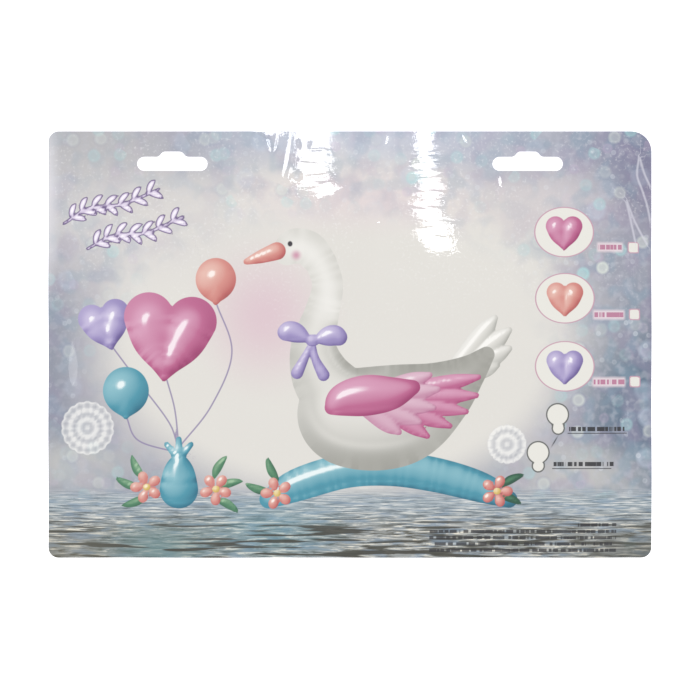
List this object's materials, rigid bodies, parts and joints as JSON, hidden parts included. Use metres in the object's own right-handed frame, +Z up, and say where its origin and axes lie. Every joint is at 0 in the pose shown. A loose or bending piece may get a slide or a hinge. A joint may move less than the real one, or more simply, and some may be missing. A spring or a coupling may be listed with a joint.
{
  "type": "foil balloon retail pack",
  "caption": "Flat sealed pouch of printed glossy film around a folded foil balloon, with rounded corners and hanger slots along its top edge.",
  "frame": {"origin": "on the surface that the pack lies on, below the middle of its outline", "axes": "+X to the right and +Y to the header edge as the front is read, +Z up out of the printed front"},
  "size_m": [0.297, 0.21, 0.0056],
  "materials": {
    "printed_film": "glossy clear film over print"
  },
  "bodies": {
    "root": {"film_pouch": "printed_film"}
  },
  "joints": []
}
